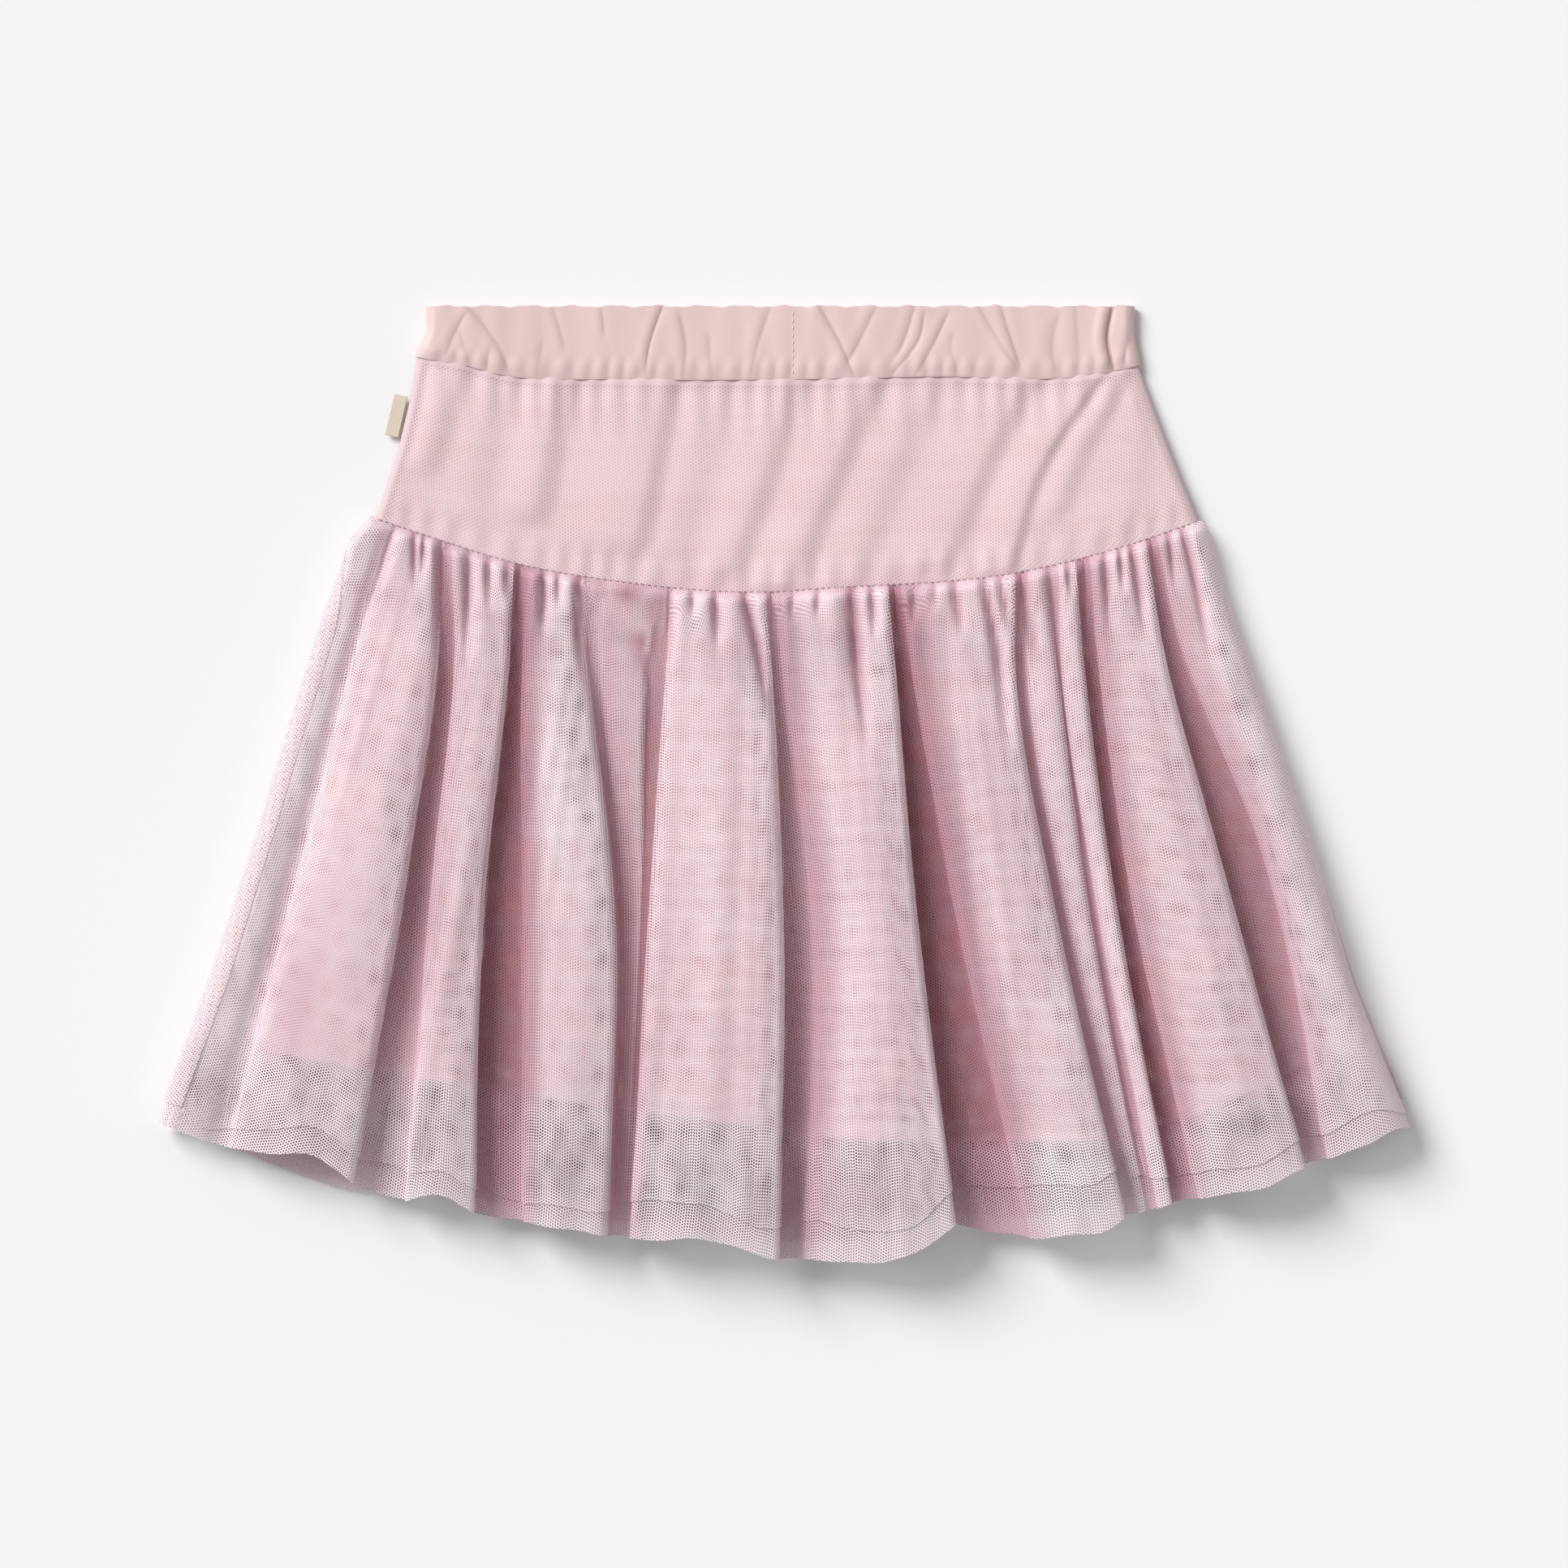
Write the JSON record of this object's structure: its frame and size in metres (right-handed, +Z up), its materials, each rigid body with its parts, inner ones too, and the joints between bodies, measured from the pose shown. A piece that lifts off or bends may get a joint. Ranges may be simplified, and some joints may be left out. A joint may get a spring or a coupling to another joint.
{
  "type": "tulle skirt",
  "caption": "Child's pink tulle skirt laid flat with its back up: gathered elastic waistband, shaped net yoke over a lining, and a gathered tier of layered net with raw-cut hems",
  "frame": {"origin": "centre of the bounding box across and along, at its base, which is the surface the skirt lies on", "axes": "+X across the skirt, to the right with its back up, +Y from the hem to the waist, +Z up off the surface"},
  "size_m": [0.4494, 0.3418, 0.0263],
  "materials": {
    "band_weave": "smooth woven satin, gathered over elastic",
    "yoke_net_back": "even net, semi matte, see-through",
    "yoke_net_front": "even net, semi matte, see-through",
    "lining_weave_back": "plain woven lining, semi matte, opaque",
    "lining_weave_front": "plain woven lining, semi matte, opaque",
    "under_net_back": "even net, semi matte, see-through",
    "under_net_front": "even net, semi matte, see-through",
    "outer_net_back": "even net, semi matte, see-through",
    "outer_net_front": "even net, semi matte, see-through",
    "label_weave": "plain woven tape, matte"
  },
  "bodies": {
    "root": {"waistband": "band_weave", "yoke_back": "yoke_net_back", "yoke_front": "yoke_net_front", "lining_back": "lining_weave_back", "lining_front": "lining_weave_front", "under_tulle_back": "under_net_back", "under_tulle_front": "under_net_front", "outer_tulle_back": "outer_net_back", "outer_tulle_front": "outer_net_front", "side_label": "label_weave"}
  },
  "joints": []
}
